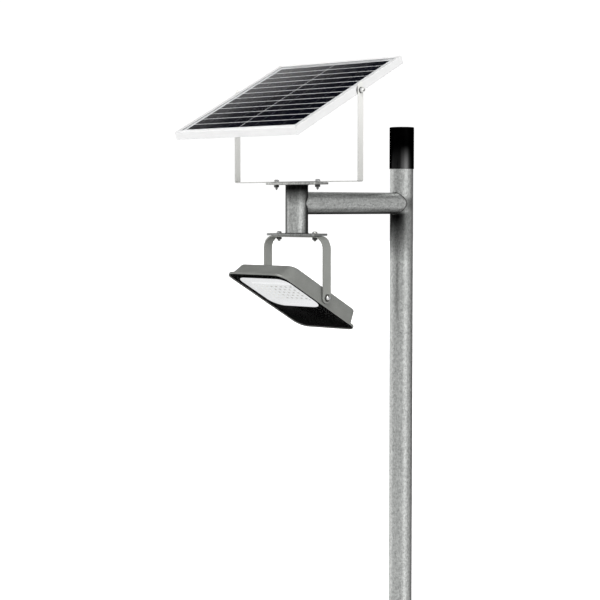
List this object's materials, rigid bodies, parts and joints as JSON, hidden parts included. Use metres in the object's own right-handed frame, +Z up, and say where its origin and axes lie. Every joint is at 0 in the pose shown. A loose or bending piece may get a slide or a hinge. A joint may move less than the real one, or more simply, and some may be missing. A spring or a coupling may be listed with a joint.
{
  "type": "solar street lamp",
  "caption": "Solar street lamp: a tilting framed solar panel and a tilting LED flood lamp, each in a U-bracket, on a stub tube carried by a side arm near the top of a round pole.",
  "frame": {"origin": "on the pole's axis at the underside of its base flange", "axes": "+Z up the pole, -Y along the side arm from the pole to the lamp and the panel, +X across the panel and the lamp"},
  "size_m": [0.3778, 0.6899, 2.3362],
  "materials": {
    "galvanised_steel": "hot-dip galvanised, satin with a fine speckle",
    "white_paint": "satin powder coat",
    "grey_paint": "fine-textured satin powder coat",
    "white_aluminium": "satin, pale silver anodised",
    "zinc_steel": "bright zinc plate",
    "black_gloss": "gloss",
    "black_plastic": "fine matte",
    "black_rubber": "matte",
    "white_plastic": "satin reflector white",
    "backsheet": "matte film",
    "nylon": "natural nylon",
    "solar_cell": "dark blue-black silicon with fine silver lines",
    "panel_glass": "clear, lightly textured",
    "lamp_glass": "clear, polished",
    "circuit_board": "white solder mask",
    "battery_wrap": "satin shrink wrap"
  },
  "bodies": {
    "post": {"base_flange": "galvanised_steel", "base_gusset_1": "galvanised_steel", "base_gusset_2": "galvanised_steel", "base_gusset_3": "galvanised_steel", "base_gusset_4": "galvanised_steel", "pole_tube": "galvanised_steel", "pole_cap": "black_gloss", "arm_tube": "galvanised_steel", "stub_tube": "galvanised_steel", "upper_plate": "galvanised_steel", "lower_plate": "galvanised_steel", "panel_bracket": "white_paint", "panel_bracket_bolt_left": "zinc_steel", "panel_bracket_bolt_right": "zinc_steel", "panel_bracket_nut_left": "zinc_steel", "panel_bracket_nut_right": "zinc_steel", "lamp_bracket": "grey_paint", "lamp_bracket_bolt_left": "zinc_steel", "lamp_bracket_bolt_right": "zinc_steel", "lamp_bracket_nut_left": "zinc_steel", "lamp_bracket_nut_right": "zinc_steel"},
    "panel": {"frame_rail_front": "white_aluminium", "frame_rail_rear": "white_aluminium", "frame_rail_left": "white_aluminium", "frame_rail_right": "white_aluminium", "panel_glass": "panel_glass", "solar_cells": "solar_cell", "panel_backsheet": "backsheet", "junction_box": "black_plastic", "junction_box_lid": "black_plastic", "junction_box_gland": "black_plastic", "panel_pivot_bolt_left": "zinc_steel", "panel_pivot_bolt_right": "zinc_steel", "panel_pivot_spacer_left": "nylon", "panel_pivot_spacer_right": "nylon", "panel_pivot_washer_left": "zinc_steel", "panel_pivot_washer_right": "zinc_steel", "panel_pivot_nut_left": "zinc_steel", "panel_pivot_nut_right": "zinc_steel"},
    "lamp": {"lamp_housing": "grey_paint", "lamp_glass": "lamp_glass", "glass_gasket": "black_rubber", "window_mask": "black_gloss", "reflector_tray": "white_plastic", "led_board": "circuit_board", "battery_holder": "black_plastic", "battery_cell_1": "battery_wrap", "battery_cell_2": "battery_wrap", "battery_cell_3": "battery_wrap", "battery_cell_4": "battery_wrap", "charge_controller": "circuit_board", "lamp_cable_gland": "black_plastic", "lamp_vent_plug": "black_plastic", "lamp_pivot_bolt_left": "zinc_steel", "lamp_pivot_bolt_right": "zinc_steel", "lamp_pivot_washer_left": "zinc_steel", "lamp_pivot_washer_right": "zinc_steel"}
  },
  "joints": [
    {"name": "panel_tilt", "type": "hinge", "parent": "post", "child": "panel", "pos_m": [0, -0.35, 2.2571], "axis": [1, 0, 0], "range_deg": [-26.4, 43.6]},
    {"name": "lamp_tilt", "type": "hinge", "parent": "post", "child": "lamp", "pos_m": [0, -0.35, 1.8286], "axis": [1, 0, 0], "range_deg": [-42, 58]}
  ]
}
